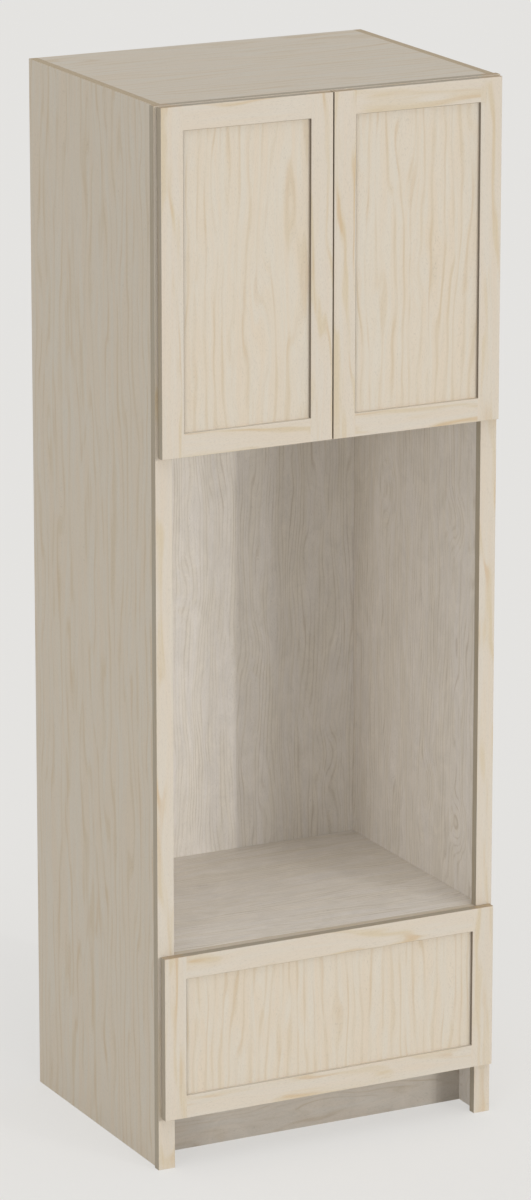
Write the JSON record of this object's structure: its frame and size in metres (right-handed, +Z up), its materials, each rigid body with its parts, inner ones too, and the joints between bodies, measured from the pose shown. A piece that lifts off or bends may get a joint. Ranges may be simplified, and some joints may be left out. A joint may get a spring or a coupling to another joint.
{
  "type": "oven housing unit",
  "caption": "Tall wooden cabinet with hinged doors over an open oven bay, a deep drawer below it and a recessed toe space; a face frame covers the front edges.",
  "frame": {"origin": "centre of the bounding box at floor level", "axes": "+X to the right as seen from the front, +Y from the doors towards the wall, +Z up"},
  "size_m": [0.8002, 0.6302, 2.286],
  "materials": {
    "maple": "clear matt lacquer on pale maple",
    "plywood": "clear sealed maple-faced plywood",
    "hardwood_pin": "bare beech",
    "nickel_steel": "nickel-plated sheet steel",
    "zinc_steel": "bright zinc-plated steel",
    "clear_pad": "clear soft polyurethane"
  },
  "bodies": {
    "cabinet": {"left_side_panel": "maple", "right_side_panel": "maple", "top_panel": "maple", "upper_deck": "plywood", "oven_deck": "plywood", "bottom_panel": "plywood", "back_panel": "plywood", "toe_kick_board": "maple", "toe_kick_blocks": "plywood", "hanging_rails": "plywood", "deck_cleats": "plywood", "slide_spacers": "plywood", "shelf": "plywood", "shelf_pins": "nickel_steel", "left_frame_stile": "maple", "right_frame_stile": "maple", "top_frame_rail": "maple", "upper_mid_rail": "maple", "lower_mid_rail": "maple", "bottom_frame_rail": "maple", "frame_dowels": "hardwood_pin", "pocket_screws": "zinc_steel", "cabinet_screws": "zinc_steel", "bumpers": "clear_pad", "left_hinge_arms": "nickel_steel", "right_hinge_arms": "nickel_steel", "hinge_arm_screws": "nickel_steel", "cabinet_slide_members": "zinc_steel"},
    "left_hinge_links": {"left_hinge_links": "nickel_steel"},
    "right_hinge_links": {"right_hinge_links": "nickel_steel"},
    "left_door": {"left_door_hinge_stile": "maple", "left_door_meeting_stile": "maple", "left_door_top_rail": "maple", "left_door_bottom_rail": "maple", "left_door_panel": "maple", "left_hinge_cups": "nickel_steel", "left_cup_screws": "nickel_steel"},
    "right_door": {"right_door_hinge_stile": "maple", "right_door_meeting_stile": "maple", "right_door_top_rail": "maple", "right_door_bottom_rail": "maple", "right_door_panel": "maple", "right_hinge_cups": "nickel_steel", "right_cup_screws": "nickel_steel"},
    "drawer": {"drawer_front_left_stile": "maple", "drawer_front_right_stile": "maple", "drawer_front_top_rail": "maple", "drawer_front_bottom_rail": "maple", "drawer_front_panel": "maple", "drawer_front_backer": "plywood", "left_drawer_side": "plywood", "right_drawer_side": "plywood", "drawer_box_front": "plywood", "drawer_box_back": "plywood", "drawer_bottom": "plywood", "drawer_slide_members": "zinc_steel", "drawer_screws": "zinc_steel"},
    "slide_intermediates": {"intermediate_slide_members": "zinc_steel"},
    "outer_cages": {"outer_ball_cages": "zinc_steel"},
    "inner_cages": {"inner_ball_cages": "zinc_steel"}
  },
  "joints": [
    {"name": "left_door_on_link", "type": "hinge", "parent": "left_hinge_links", "child": "left_door", "pos_m": [-0.38, -0.29878, 1.9201], "axis": [0, 0, -1], "range_deg": [0, 141.55]},
    {"name": "left_link_on_arm", "type": "hinge", "parent": "cabinet", "child": "left_hinge_links", "pos_m": [-0.3577, -0.29678, 1.9201], "axis": [0, 0, 1], "range_deg": [0, 46.6]},
    {"name": "right_door_on_link", "type": "hinge", "parent": "right_hinge_links", "child": "right_door", "pos_m": [0.38, -0.29878, 1.9201], "axis": [0, 0, 1], "range_deg": [0, 141.55]},
    {"name": "right_link_on_arm", "type": "hinge", "parent": "cabinet", "child": "right_hinge_links", "pos_m": [0.3577, -0.29678, 1.9201], "axis": [0, 0, -1], "range_deg": [0, 46.6]},
    {"name": "drawer_slide", "type": "slide", "parent": "cabinet", "child": "drawer", "axis": [0, -1, 0], "range_m": [0, 0.508]},
    {"name": "intermediate_slide", "type": "slide", "parent": "cabinet", "child": "slide_intermediates", "axis": [0, -1, 0], "range_m": [0, 0.254]},
    {"name": "outer_cage_slide", "type": "slide", "parent": "cabinet", "child": "outer_cages", "axis": [0, -1, 0], "range_m": [0, 0.127]},
    {"name": "inner_cage_slide", "type": "slide", "parent": "cabinet", "child": "inner_cages", "axis": [0, -1, 0], "range_m": [0, 0.381]}
  ],
  "couplings": [
    {"joint": "left_link_on_arm", "follows": "left_door_on_link", "ratio": 0.32886},
    {"joint": "right_link_on_arm", "follows": "right_door_on_link", "ratio": 0.32886},
    {"joint": "intermediate_slide", "follows": "drawer_slide", "ratio": 0.5},
    {"joint": "outer_cage_slide", "follows": "drawer_slide", "ratio": 0.25},
    {"joint": "inner_cage_slide", "follows": "drawer_slide", "ratio": 0.75}
  ]
}
